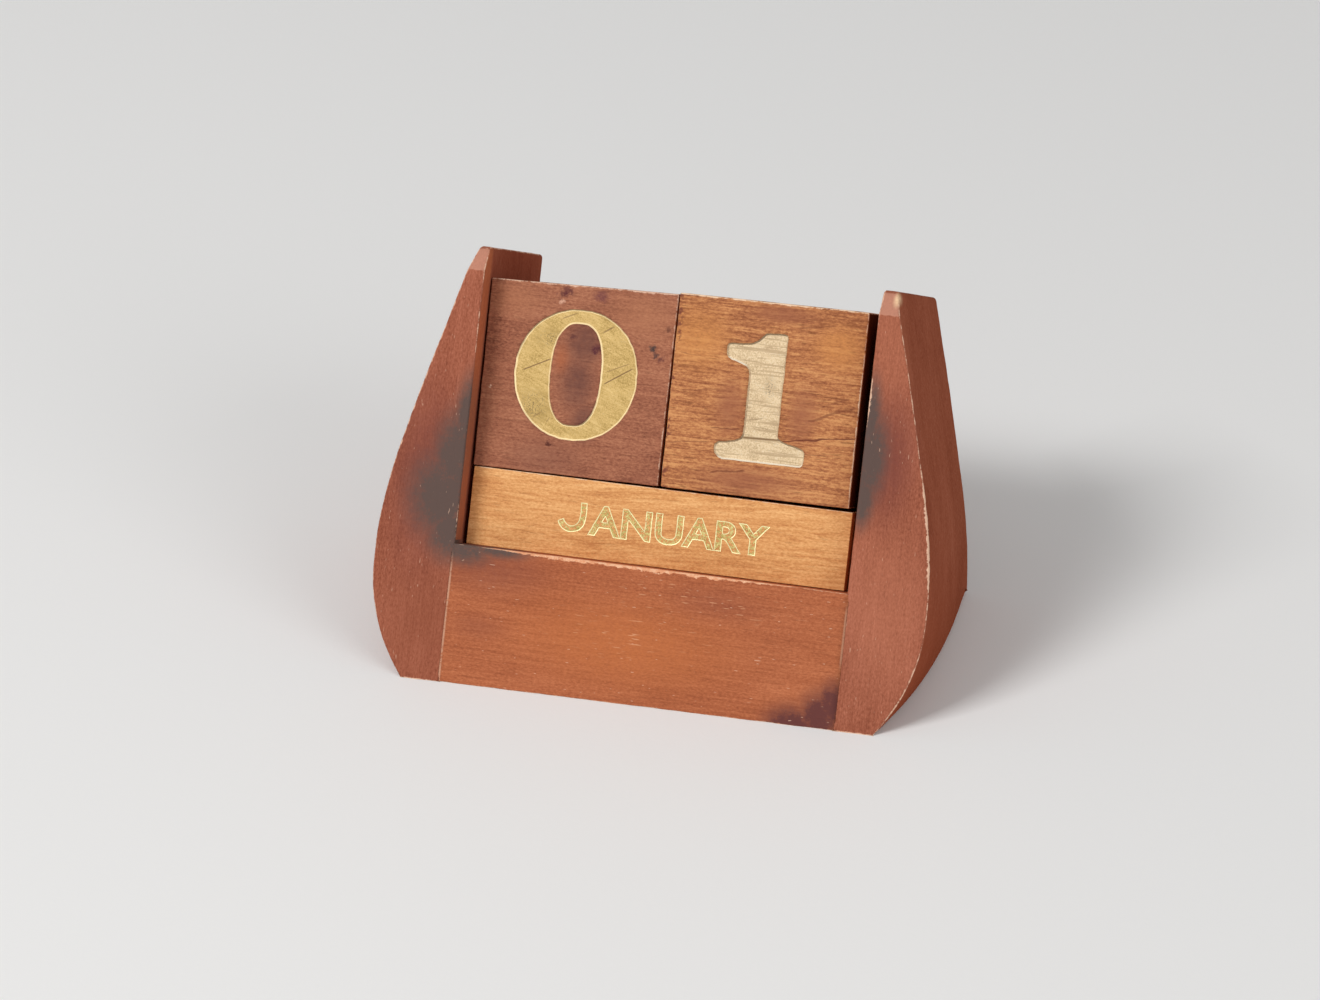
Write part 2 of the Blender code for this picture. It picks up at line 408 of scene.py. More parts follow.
def between_cheeks(name, node, profile, arris, material, move=None):
    """A tray piece that fills the width between the cheeks, from its side view as (depth, height) points.

    Its ends reach into the cheeks' rounded arrises, so that the seams lie flush."""
    right = INNER_WIDTH + SEAM_LAP
    bm = bmesh.new()
    face = bm.faces.new([bm.verts.new((-right, depth, height)) for depth, height in profile])
    drawn = bmesh.ops.extrude_face_region(bm, geom=[face])
    moved = [item for item in drawn["geom"] if isinstance(item, bmesh.types.BMVert)]
    bmesh.ops.translate(bm, verts=moved, vec=(2 * right, 0.0, 0.0))
    bmesh.ops.recalc_face_normals(bm, faces=bm.faces)
    round_arrises(bm, arris, lambda edge: abs(edge.verts[0].co.x - edge.verts[1].co.x) < 1 * MM)
    depths, heights = zip(*profile)
    low = Vector((-right, min(depths), min(heights)))
    high = Vector((right, max(depths), max(heights)))
    cut_into_cells(bm, low, high)

    def gaps(place):
        """The ends are glued, so they don't count as faces that wear."""
        low_gap, high_gap = place - low, high - place
        low_gap.x = high_gap.x = FAR
        low_gap.z = place.z - foot_height(place.y)
        return low_gap, high_gap

    mark_gaps(bm, gaps)
    wear_down(bm, gaps, TRAY_WEAR, 7.0)
    if move:
        bend(bm, move)
    return finished(name, bm, material, "tray", node)


def base_block(material):
    low, high = tray_box("base_block")
    profile = [(0.0, 0.0), (0.0, high.z), (high.y, high.z), (high.y, foot_height(high.y))]

    def fall(place):
        """The rail's top falls a little to the right, and its foot stays flat."""
        foot = foot_height(place.y)
        across = (place.x - low.x) / (high.x - low.x)
        rise = (place.z - foot) / (high.z - foot)
        return place + Vector((0.0, 0.0, rise * (0.20 - 0.62 * across) * MM))

    return between_cheeks("rail_and_floor", "base_block", profile, RAIL_ARRIS, material, fall)


def back_panel(material):
    low, high = tray_box("back_panel")
    profile = [
        (low.y, foot_height(low.y)), (low.y, high.z), (high.y, high.z), (high.y, foot_height(high.y)),
    ]
    return between_cheeks("rest_panel", "back_panel", profile, PANEL_ARRIS, material)


# Numerals and words


def oval(centre, half_width, half_height, power, points=20):
    """A full-bodied oval: an ellipse whose sides are squared up a little."""
    loop = []
    for step in range(points):
        angle = math.tau * step / points
        across, rise = math.cos(angle), math.sin(angle)
        x = centre[0] + half_width * math.copysign(abs(across) ** (2 / power), across)
        y = centre[1] + half_height * math.copysign(abs(rise) ** (2 / power), rise)
        loop.append((x, y))
    return loop


def corners(*loop):
    """A loop whose every point is a sharp corner."""
    return [(x, y, "c") for x, y in loop]


# Each numeral: loops of (x, y) in millimetres from its face's middle. A third item "c" makes a sharp corner.
NUMERALS = {
    0: [oval((0.0, 1.1), 12.45, 13.05, 2.08, 40), oval((-0.05, 1.2), 5.1, 10.13, 2.5, 40)],
    1: [corners(
        (-0.3, 13.1), (0.6, 13.2), (2.9, 13.2), (3.4, 13.0), (3.5, 12.4), (3.5, 10.0), (3.45, 2.0),
        (3.4, -6.6), (3.6, -7.2), (4.4, -7.7), (5.6, -8.1), (7.6, -8.5), (8.7, -8.9), (9.1, -9.5), (9.15, -10.8),
        (9.0, -11.9), (8.6, -12.3), (7.8, -12.4), (0.0, -12.4), (-7.4, -12.4), (-8.2, -12.1), (-9.0, -11.2),
        (-9.2, -10.4), (-9.1, -9.6), (-8.5, -9.0), (-6.6, -8.75), (-5.2, -8.4), (-4.1, -7.9), (-3.7, -7.2),
        (-3.6, -6.0), (-3.6, 0.0), (-3.6, 4.8), (-3.8, 5.6), (-4.4, 6.2), (-5.6, 6.7), (-7.4, 7.2), (-8.3, 7.7),
        (-8.6, 8.4), (-8.6, 9.8), (-8.4, 10.3), (-7.8, 10.5), (-5.4, 10.6), (-3.4, 10.9), (-2.4, 11.5),
        (-1.6, 12.4), (-1.0, 12.9),
    )],
    2: [[
        (-9.6, 5.2), (-9.6, 8.6), (-7.0, 11.8), (-1.5, 13.1), (4.5, 12.6), (8.8, 9.6), (9.4, 5.4), (7.0, 1.0),
        (2.2, -3.0), (-1.6, -6.4, "c"), (5.6, -6.4), (7.4, -5.4), (8.0, -3.4, "c"), (9.9, -3.4, "c"),
        (9.9, -12.4, "c"), (-9.9, -12.4, "c"), (-9.7, -9.0), (-7.0, -4.6), (-1.6, 0.4), (1.9, 4.6), (2.0, 8.6),
        (-0.2, 10.9), (-2.6, 10.4), (-2.9, 8.8), (-2.2, 6.4), (-3.4, 3.4), (-6.6, 2.6),
    ]],
    3: [[
        (-9.3, 6.0), (-9.2, 9.0), (-6.4, 12.0), (-1.0, 13.1), (4.8, 12.4), (8.4, 9.4), (8.3, 5.4), (5.4, 2.2),
        (3.4, 1.3, "c"), (6.6, 0.6), (9.6, -2.6), (9.7, -7.0), (6.6, -11.2), (0.6, -12.9), (-5.6, -12.2),
        (-9.6, -9.0), (-9.9, -5.4), (-7.8, -3.0), (-4.8, -3.2), (-3.2, -5.4), (-3.6, -8.4), (-2.6, -10.2),
        (-0.4, -10.6), (1.8, -9.0), (2.4, -5.4), (1.8, -1.6), (-0.4, 0.2), (-3.4, 0.4, "c"), (-3.4, 2.2, "c"),
        (-0.4, 2.5), (1.4, 4.2), (1.8, 7.2), (1.0, 10.0), (-1.0, 10.9), (-2.8, 9.8), (-2.6, 7.6), (-3.2, 4.8),
        (-6.4, 3.6),
    ]],
    4: [
        [
            (1.4, 13.1, "c"), (6.2, 13.1, "c"), (6.2, -3.2, "c"), (10.4, -3.2, "c"), (10.4, -6.2, "c"),
            (6.2, -6.2, "c"), (6.2, -9.4), (7.4, -10.2), (9.2, -10.2, "c"), (9.2, -12.4, "c"),
            (-4.4, -12.4, "c"), (-4.4, -10.2, "c"), (-2.2, -10.2), (-1.0, -9.4), (-1.0, -6.2, "c"),
            (-11.0, -6.2, "c"), (-11.0, -3.4, "c"),
        ],
        corners((-1.0, 7.0), (-1.0, -3.2), (-7.4, -3.2)),
    ],
    5: [[
        (-8.2, 13.1, "c"), (7.2, 13.1, "c"), (7.9, 6.8, "c"), (-5.6, 6.8, "c"), (-5.9, 3.0, "c"), (-2.0, 4.4),
        (3.4, 4.2), (8.4, 1.0), (9.9, -4.4), (7.8, -9.6), (2.4, -12.6), (-4.4, -12.4), (-9.0, -9.6),
        (-9.6, -6.0), (-7.6, -3.6), (-4.8, -3.6), (-3.2, -5.6), (-3.4, -8.4), (-2.4, -10.2), (-0.2, -10.4),
        (2.0, -8.4), (2.6, -4.4), (1.8, -0.4), (-0.8, 1.6), (-4.0, 1.2), (-6.2, -0.4, "c"), (-8.3, -0.4, "c"),
    ]],
    6: [
        [
            (8.4, 8.4), (7.4, 11.2), (3.0, 13.1), (-3.0, 12.2), (-8.2, 7.6), (-10.2, 0.6), (-9.4, -6.8),
            (-5.2, -11.8), (0.8, -12.9), (6.8, -11.2), (10.0, -6.4), (9.6, -0.8), (6.0, 2.9), (1.2, 3.2),
            (-2.4, 1.4), (-3.0, 5.0), (-1.6, 9.2), (1.0, 10.9), (3.0, 10.2), (2.4, 7.8), (3.6, 5.6), (6.4, 5.4),
        ],
        oval((0.2, -5.0), 3.0, 5.9, 2.4),
    ],
    7: [[
        (-9.4, 13.1, "c"), (9.8, 13.1, "c"), (9.8, 9.6), (6.0, 3.6), (3.6, -3.6), (3.0, -12.4, "c"),
        (-4.4, -12.4, "c"), (-3.6, -4.8), (0.4, 2.0), (5.0, 7.0, "c"), (-4.4, 7.0), (-6.6, 5.8), (-7.4, 3.6, "c"),
        (-9.4, 3.6, "c"),
    ]],
    8: [
        [
            (0.0, 13.1), (5.8, 12.0), (8.9, 8.4), (8.4, 4.2), (5.0, 1.3), (8.8, -2.0), (10.0, -6.4), (7.6, -10.8),
            (0.0, -12.9), (-7.6, -10.8), (-10.0, -6.4), (-8.8, -2.0), (-5.0, 1.3), (-8.4, 4.2), (-8.9, 8.4),
            (-5.8, 12.0),
        ],
        oval((0.0, 7.0), 3.0, 4.1, 2.3),
        oval((0.0, -5.8), 3.4, 4.9, 2.3),
    ],
}

TENS_FACES = {"front": 0, "back": 3, "left": 4, "right": 1, "top": 2, "under": 5}
UNITS_FACES = {"front": 1, "back": 0, "left": 7, "right": 2, "top": 6, "under": 8}

MONTHS = (
    ("JANUARY", "FEBRUARY"), ("MARCH", "APRIL"), ("MAY", "JUNE"),
    ("JULY", "AUGUST"), ("SEPTEMBER", "OCTOBER"), ("NOVEMBER", "DECEMBER"),
)

# A widely hooked J in millimetres, which the text face lacks
ROUND_J = [
    (5.4, 5.9, "c"), (5.4, 2.6), (4.8, 0.9), (3.1, 0.0), (1.3, 0.1), (0.1, 1.1), (-0.3, 1.9, "c"), (0.9, 2.5, "c"),
    (1.4, 1.7), (2.5, 1.2), (3.6, 1.7), (4.1, 2.9), (4.1, 5.9, "c"),
]


def face_up(bm):
    """Turn every face of a flat sheet to look up its z axis."""
    bm.normal_update()
    turned = [face for face in bm.faces if face.normal.z < 0]
    bmesh.ops.reverse_faces(bm, faces=turned)


def flat_mesh(data):
    """The flat faces of a filled curve or a text, as a bmesh."""
    obj = bpy.data.objects.new(data.name, data)
    bpy.context.scene.collection.objects.link(obj)
    bpy.context.view_layer.update()
    mesh = bpy.data.meshes.new_from_object(obj.evaluated_get(bpy.context.evaluated_depsgraph_get()))
    bpy.data.objects.remove(obj)
    bm = bmesh.new()
    bm.from_mesh(mesh)
    bpy.data.meshes.remove(mesh)
    bmesh.ops.remove_doubles(bm, verts=bm.verts, dist=1e-6)
    face_up(bm)
    return bm


def outline_curve(name, loops):
    """A filled flat curve through loops of (x, y) in millimetres."""
    curve = bpy.data.curves.new(name, "CURVE")
    curve.dimensions = "2D"
    curve.fill_mode = "BOTH"
    curve.resolution_u = 5
    for loop in loops:
        spline = curve.splines.new("BEZIER")
        spline.use_cyclic_u = True
        spline.bezier_points.add(len(loop) - 1)
        for knot, (x, y, *corner) in zip(spline.bezier_points, loop):
            knot.co = (x * MM, y * MM, 0.0)
            knot.handle_left_type = knot.handle_right_type = "VECTOR" if corner else "AUTO"
    return curve


def fray(bm, seed, amount):
    """Make a sheet's outline slightly wavy, as pressed foil tears, and fill it afresh so that no faces overlap."""
    for _ in range(5):
        edges = [edge for edge in bm.edges if edge.is_boundary and edge.calc_length() > FRAY_STEP]
        if edges:
            bmesh.ops.subdivide_edges(bm, edges=edges, cuts=1)
    for vert in bm.verts:
        place = vert.co / FRAY_PITCH + Vector((seed, seed * 2.0, 0.0))
        shift = Vector((noise.noise(place), noise.noise(place + Vector((31.0, 7.0, 0.0))), 0.0))
        vert.co += shift * amount
    inner = [edge for edge in bm.edges if not edge.is_boundary]
    bmesh.ops.delete(bm, geom=inner, context="EDGES")
    bmesh.ops.delete(bm, geom=bm.faces[:], context="FACES_ONLY")
    bmesh.ops.triangle_fill(bm, use_beauty=True, edges=bm.edges[:], normal=(0.0, 0.0, 1.0))
    face_up(bm)


def extent(bm):
    low = Vector([min(vert.co[axis] for vert in bm.verts) for axis in range(3)])
    high = Vector([max(vert.co[axis] for vert in bm.verts) for axis in range(3)])
    return low, high


def face_frames(low, high):
    """Frames on a block's six faces: x to the right and y up as one looks at the face, z outwards."""
    middle = (low + high) / 2
    half = (high - low) / 2
    axes = {
        "front": ((1, 0, 0), (0, 0, 1)),
        "back": ((-1, 0, 0), (0, 0, 1)),
        "left": ((0, -1, 0), (0, 0, 1)),
        "right": ((0, 1, 0), (0, 0, 1)),
        "top": ((1, 0, 0), (0, 1, 0)),
        "under": ((1, 0, 0), (0, -1, 0)),
    }
    frames = {}
    for face, (right, up) in axes.items():
        right, up = Vector(right), Vector(up)
        out = right.cross(up)
        place = middle + Vector([out[axis] * half[axis] for axis in range(3)])
        turn = Matrix((right, up, out)).transposed().to_4x4()
        frames[face] = Matrix.Translation(place) @ turn
    return frames


def foil_dish(bm, stamp, proud):
    """Press the middle of a flat sheet down, and mark the vertices of its bright rim."""
    sink, wall, band = stamp
    edge = bm.verts.layers.float.new("rim")
    middle = bm.faces[:]
    for width, depth in ((wall, -sink), (band, 0.0)):
        bmesh.ops.inset_region(
            bm, faces=middle, thickness=width, depth=depth, use_boundary=True, use_even_offset=False
        )
    within = {vert for face in middle for vert in face.verts}
    for vert in bm.verts:
        vert[edge] = float(vert not in within)
    cut_into_cells(bm, *extent(bm), axes=(0, 1))
    for vert in bm.verts:
        if not vert[edge]:
            vert.co.z += FOIL_RIPPLE * noise.noise(vert.co / WEAR_PITCH)
    bmesh.ops.translate(bm, verts=bm.verts, vec=(0.0, 0.0, proud))


def punch_for(sheet, sink):
    """A cutter that lets a pressed sheet into the wood."""
    punch = sheet.copy()
    drawn = bmesh.ops.extrude_face_region(punch, geom=punch.faces[:])
    raised = [item for item in drawn["geom"] if isinstance(item, bmesh.types.BMVert)]
    bmesh.ops.translate(punch, verts=raised, vec=(0.0, 0.0, PUNCH_HEIGHT))
    bmesh.ops.translate(punch, verts=punch.verts, vec=(0.0, 0.0, -PUNCH_REACH * sink))
    bmesh.ops.recalc_face_normals(punch, faces=punch.faces)
    return punch


def stamp_into(bm, punch, share):
    """The first shape with a share of the second cut out of it.

    Both are cut as triangles, because the solver can leave holes where faces have more sides. Stops if the result
    isn't closed, or if any other amount came off."""
    for shape in (bm, punch):
        bmesh.ops.triangulate(shape, faces=shape.faces[:])
    whole = bm.calc_volume()
    due = punch.calc_volume() * share
    blank = new_object("blank", bm, [], Matrix())
    cutter = new_object("cutter", punch, [], Matrix())
    stamped = blank.modifiers.new("stamped", "BOOLEAN")
    stamped.operation = "DIFFERENCE"
    stamped.solver = "EXACT"
    stamped.object = cutter
    bpy.context.view_layer.update()
    result = bpy.data.meshes.new_from_object(blank.evaluated_get(bpy.context.evaluated_depsgraph_get()))
    bpy.data.objects.remove(blank)
    bpy.data.objects.remove(cutter)
    bm = bmesh.new()
    bm.from_mesh(result)
    if not all(edge.is_manifold for edge in bm.edges):
        raise RuntimeError("a stamp left the shape open")
    bite = whole - bm.calc_volume()
    if abs(bite / due - 1) > BITE_TOLERANCE:
        raise RuntimeError(f"a stamp took {bite / MM ** 3:.2f} cubic millimetres off, not {due / MM ** 3:.2f}")
    return bm


def number_cube(name, node, body, faces, stamp, wear, finishes, corner_shifts, seed):
    """A cube with its numerals stamped into its faces and laid with foil."""
    wood_finish, foil_finish = finishes
    low, high = tray_box(node)
    gaps = box_gaps(low, high)
    move = out_of_square(low, high, corner_shifts)
    bm = block(low, high)
    round_arrises(bm, CUBE_ARRIS)
    cut_into_cells(bm, low, high)
    wear_down(bm, gaps, CUBE_WEAR, seed)
    frames = face_frames(low, high)
    for face, number in faces.items():
        sheet = flat_mesh(outline_curve(f"outline_{number}", NUMERALS[number]))
        fray(sheet, seed + number, 0.09 * MM)
        punch = punch_for(sheet, stamp[0])
        punch.transform(frames[face])
        bm = stamp_into(bm, punch, PUNCH_REACH * stamp[0] / PUNCH_HEIGHT)
        foil_dish(sheet, stamp, FOIL_PROUD)
        sheet.transform(frames[face])
        bend(sheet, move)
        finished(f"foil_{number}_on_{name}", sheet, foil_finish, body)
    mark_gaps(bm, gaps, wear)
    bend(bm, move)
    return finished(name, bm, wood_finish, body, node)


def word_sheet(word):
    """A word in plain capitals."""
    hooked = word.startswith("J")
    text = bpy.data.curves.new(word, "FONT")
    text.body = word[1:] if hooked else word
    text.size = WORD_SIZE
    text.offset = WORD_STROKE
    text.fill_mode = "BOTH"
    text.resolution_u = 5
    bm = flat_mesh(text)
    bmesh.ops.scale(bm, vec=(WORD_STRETCH, 1.0, 1.0), verts=bm.verts)
    if hooked:
        letter = flat_mesh(outline_curve("round_j", [ROUND_J]))
        reach = extent(letter)[1].x + LETTER_GAP
        bmesh.ops.translate(letter, verts=letter.verts, vec=(extent(bm)[0].x - reach, 0.0, 0.0))
        add_to(bm, letter)
    low, high = extent(bm)
    bmesh.ops.translate(bm, verts=bm.verts, vec=WORD_SHIFT - (low + high) / 2)
    fray(bm, len(word), 0.05 * MM)
    return bm


def month_slat(number, wood_finish, foil_finish):
    """A thin slat with a month on each side."""
    node = f"month_slat_{number}"
    body = f"slat_{number}"
    low, high = tray_box(node)
    gaps = box_gaps(low, high)
    move = out_of_square(low, high, ((0.05, -0.12), (0.0, -0.62), (0.05, 0.14), (0.0, -0.40)))
    bm = block(low, high)
    round_arrises(bm, SLAT_ARRIS)
    cut_into_cells(bm, low, high)
    mark_gaps(bm, gaps, arris_wear(0.5, 0.4, 0.4, 1.3))
    wear_down(bm, gaps, SLAT_WEAR, 11.0 + number)
    bend(bm, move)
    finished(f"slat_{number}_wood", bm, wood_finish, body, node)
    frames = face_frames(low, high)
    for face, word in zip(("front", "back"), MONTHS[number - 1]):
        sheet = word_sheet(word)
        foil_dish(sheet, WORD_STAMP, WORD_PROUD)
        sheet.transform(frames[face])
        bend(sheet, move)
        finished(f"foil_{word.lower()}", sheet, foil_finish, body)


# Finishes


class Signal:
    """A node's output. Sums and products of signals add Math nodes, so shader maths reads as expressions."""

    def __init__(self, finish, socket):
        self.finish = finish
        self.socket = socket

    def math(self, operation, *operands):
        return self.finish.node("Math", {"operation": operation}, dict(enumerate((self, *operands))))

    def __add__(self, other):
        return self.math("ADD", other)

    def __sub__(self, other):
        return self.math("SUBTRACT", other)

    def __mul__(self, other):
        return self.math("MULTIPLY", other)

    def __rsub__(self, other):
        return self.finish.node("Math", {"operation": "SUBTRACT"}, {0: other, 1: self})

    __radd__ = __add__
    __rmul__ = __mul__

    def least(self, other):
        return self.math("MINIMUM", other)

    def most(self, other):
        return self.math("MAXIMUM", other)

    def size(self):
        return self.math("ABSOLUTE")

    def rise(self, start, end):
        """0 below start, 1 above end and a smooth step between; the other way round where end is lower."""
        settings = {"interpolation_type": "SMOOTHSTEP"}
        return self.finish.node("MapRange", settings, {"Value": self, "From Min": start, "From Max": end})


class Finish:
    """A material being put together."""

    def __init__(self, name):
        self.material = bpy.data.materials.new(name)
        self.material.use_nodes = True
        self.tree = self.material.node_tree
        self.tree.nodes.clear()

    def node(self, kind, settings=None, inputs=None, output=0):
        made = self.tree.nodes.new("ShaderNode" + kind)
        for key, value in (settings or {}).items():
            if key == "stops":
                for stop, (position, colour) in zip(made.color_ramp.elements, value):
                    stop.position, stop.color = position, (*colour, 1.0)
                for position, colour in value[2:]:
                    made.color_ramp.elements.new(position).color = (*colour, 1.0)
            else:
                setattr(made, key, value)
        for key, value in (inputs or {}).items():
            if isinstance(value, Signal):
                self.tree.links.new(value.socket, made.inputs[key])
            else:
                made.inputs[key].default_value = value
        return Signal(self, made.outputs[output]) if made.outputs else None

    def place(self):
        """The point in the tray's frame, in millimetres."""
        return self.node("Mapping", {"vector_type": "TEXTURE"}, {
            "Vector": self.node("TexCoord", output="Object"),
            "Location": TRAY.to_translation(), "Rotation": (-LEAN, 0.0, 0.0), "Scale": (MM, MM, MM),
        })

    def vector(self, operation, first, second, output=0):
        return self.node("VectorMath", {"operation": operation}, {0: first, 1: second}, output)

    def parts(self, vector):
        """A vector's x, y and z."""
        split = self.node("SeparateXYZ", inputs={"Vector": vector})
        outputs = split.socket.node.outputs
        return [Signal(self, outputs[axis]) for axis in "XYZ"]

    def noise(self, place, scale, detail=3.0, roughness=0.5, distortion=0.0):
        return self.node("TexNoise", {"noise_dimensions": "3D"}, {
            "Vector": place, "Scale": scale, "Detail": detail, "Roughness": roughness, "Distortion": distortion,
        })

    def drawn_out(self, place, along, ratio, slope=0.0):
        """The place drawn out along the grain, which may slope, in radians, on the front."""
        if slope:
            place = self.node("Mapping", {"vector_type": "POINT"}, {"Vector": place, "Rotation": (0.0, slope, 0.0)})
        return self.vector("MULTIPLY", place, [1 / ratio if axis == along else 1.0 for axis in range(3)])

    def mix(self, share, first, second, blend="MIX"):
        settings = {"data_type": "RGBA", "blend_type": blend, "clamp_factor": True}
        colours = [value if isinstance(value, Signal) else (*value, 1.0) for value in (first, second)]
        return self.node("Mix", settings, {0: share, 6: colours[0], 7: colours[1]}, 2)

    def spot(self, place, centre, reach):
        """1 in the middle of a soft oval spot and 0 outside it; centre and reach in millimetres."""
        offset = self.vector("SUBTRACT", place, centre)
        away = self.vector("LENGTH", self.vector("DIVIDE", offset, reach), (0, 0, 0), "Value")
        return away.rise(1.0, 0.10)

    def blot(self, place, spots, depth, deep):
        """Soft spots run together, from (x, z), (reach x, reach z) in millimetres, at a depth."""
        share = None
        for (x, z), (wide, tall) in spots:
            spot = self.spot(place, (x, depth, z), (wide, deep, tall))
            share = spot if share is None else share.most(spot)
        return share

    def scratch(self, place, start, end, width):
        """A straight line on a front face, from (x, z) to (x, z) in millimetres."""
        run = Vector((end[0] - start[0], 0.0, end[1] - start[1]))
        along = run.normalized()
        across = Vector((-along.z, 0.0, along.x))
        offset = self.vector("SUBTRACT", place, (start[0], 0.0, start[1]))
        reach = self.vector("DOT_PRODUCT", offset, along, "Value")
        side = self.vector("DOT_PRODUCT", offset, across, "Value").size()
        ends = (reach - run.length / 2).size().rise(run.length / 2, run.length / 2 - 0.8)
        return side.rise(width, width * 0.3) * ends

    def front_of(self, place, depth):
        """1 in front of a depth in millimetres, so that a mark stays on the front face."""
        return self.parts(place)[1].rise(depth + 0.4, depth)

    def shade(self, colour, roughness, height=None, bump=0.0, alpha=None, **constants):
        """The finished surface. Bump is how tall, in metres, a height of 1 stands."""
        inputs = {"Base Color": colour, "Roughness": roughness, **constants}
        if height is not None:
            inputs["Normal"] = self.node("Bump", inputs={"Height": height, "Distance": bump, "Strength": 1.0})
        if alpha is not None:
            inputs["Alpha"] = alpha
        shader = self.node("BsdfPrincipled", inputs=inputs)
        self.node("OutputMaterial", inputs={"Surface": shader})
        return self.material


def arris_distance(finish):
    """Distance in millimetres from the nearest arris, from the distances stored on the mesh."""
    low = finish.node("Attribute", {"attribute_name": "low_gap"}, output="Vector")
    high = finish.node("Attribute", {"attribute_name": "high_gap"}, output="Vector")
    across, deep, tall = finish.parts(finish.vector("MINIMUM", low, high))
    second = across.least(deep).most(across.most(deep).least(tall))
    return second, finish.parts(low), finish.parts(high)


def wood(name, tones, grain, look, seed, stains=(), extra=None):
    """Stained and worn wood.

    tones: dark, middle and light colour. look: streak, fibre, hair, speck and cloud say how much each varies the
    tone, wander how far the grain strays in millimetres and slope how it tilts; worn is the colour of rubbed
    arrises and width their width in millimetres. stains: (colour, strength, depth, soft spots). extra: a function
    that adds the piece's own marks."""
    finish = Finish(name)
    here = finish.place()
    place = finish.vector("ADD", here, (seed * 31.0, seed * 17.0, seed * 23.0))
    stray = (finish.noise(finish.drawn_out(place, grain, 5.0), 0.13, 2.0) - 0.5) * look["wander"]
    aside = finish.node("CombineXYZ", inputs={"X" if grain == UPWARDS else "Z": stray, "Y": stray})
    lying = finish.vector("ADD", place, aside)
    slope = look["slope"]
    streaks = finish.noise(finish.drawn_out(lying, grain, 9.0, slope), 0.33, 4.0, 0.55, 0.4)
    fibres = finish.noise(finish.drawn_out(lying, grain, 13.0, slope), 1.7, 3.0, 0.65)
    hairs = finish.noise(finish.drawn_out(lying, grain, 36.0, slope), 2.6, 2.0, 0.5)
    specks = finish.noise(finish.drawn_out(place, grain, 2.2), 3.0, 2.0, 0.7)
    clouds = finish.noise(finish.drawn_out(place, grain, 1.6), 0.06, 4.0, 0.6)
    tone = 0.5 + (streaks - 0.5) * look["streak"] + (fibres - 0.5) * look["fibre"]
    tone = tone + (hairs - 0.5) * look["hair"] + (specks - 0.5) * look["speck"] + (clouds - 0.5) * look["cloud"]
    dark, middle, light = tones
    colour = finish.node("ValToRGB", {"stops": [(0.15, dark), (0.85, light), (0.5, middle)]}, {"Fac": tone})
    pore = finish.noise(finish.drawn_out(lying, grain, 9.0, slope), 2.3, 2.0, 0.5).rise(0.60, 0.72)
    colour = finish.mix(pore * look["pore"], colour, [part * 0.35 for part in dark])
    ragged = finish.noise(place, 0.8, 6.0, 0.74)
    for stain, strength, depth, spots in stains:
        share = finish.blot(here, spots, depth, 9.0) * (0.3 + 1.3 * ragged) * strength
        share = share * (0.6 + 0.8 * specks)
        colour = finish.mix(share, colour, stain)
    fleck = finish.noise(finish.drawn_out(place, grain, 5.0), 3.2, 1.0, 0.4).rise(0.745, 0.79)
    colour = finish.mix(fleck * look["fleck"], colour, look["worn"])
    gap, low, high = arris_distance(finish)
    if extra:
        colour = extra(finish, here, colour, ragged, low, high)
    wear = finish.node("Attribute", {"attribute_name": "wear"}, output="Fac")
    wide = (finish.noise(place, 0.7, 5.0, 0.7) - 0.25) * (look["width"] * 2.0) * wear
    rubbed = gap.rise(wide, wide * 0.6 - 0.05)
    colour = finish.mix(rubbed * 0.9, colour, look["worn"])
    height = fibres * 0.5 + specks * 0.3 + streaks * 0.4 - pore
    rough = look["rough"] + (fibres - 0.5) * 0.16 + rubbed * 0.12
    return finish.shade(colour, rough, height, 0.03 * MM, **{"Specular IOR Level": look["gloss"]})


def rail_marks(finish, here, colour, ragged, low, high):
    """The rail's top arris, rubbed to bare wood in a ragged band, its chipped foot and the pale glue seams."""
    across, _, tall = finish.parts(here)
    swell = (across + 4.0).size().rise(42.0, 8.0)
    fine = finish.noise(finish.drawn_out(here, ACROSS, 2.4), 1.1, 4.0, 0.7)
    left_end = across.rise(-36.0, -26.0)
    reach = (0.12 + swell * 0.62 + (fine - 0.5) * (0.5 + swell * 2.8)) * (0.12 + 0.88 * left_end)
    band = high[2].rise(reach, reach - 0.22) * finish.front_of(here, 0.9)
    colour = finish.mix(band, colour, finish.mix(ragged.rise(0.42, 0.60), (0.80, 0.36, 0.19), (0.90, 0.52, 0.32)))
    chip = (fine * 1.4 - 0.52).most(0.0)
    colour = finish.mix(low[2].rise(chip, chip * 0.5), colour, (0.80, 0.44, 0.28))
    front = finish.front_of(here, 0.5)
    dashes = finish.noise(finish.drawn_out(here, ACROSS, 9.0), 3.0, 1.0, 0.4).rise(0.66, 0.72)
    rubbed = finish.blot(here, [((12.0, 22.0), (30.0, 6.0)), ((-2.0, 14.0), (26.0, 7.0))], 0.0, 9.0)
    colour = finish.mix(dashes * rubbed * front * 0.5, colour, (0.84, 0.46, 0.26))
    end = INNER_WIDTH / MM + 0.25
    left = (across + end).size().rise(0.30, 0.10) * tall.rise(27.0, 22.0) * ragged.rise(0.36, 0.54)
    right = (across - end).size().rise(0.30, 0.10) * (tall - 18.5).size().rise(7.0, 4.0)
    return finish.mix(left.most(right * 0.7) * 0.6 * front, colour, (0.74, 0.44, 0.30))


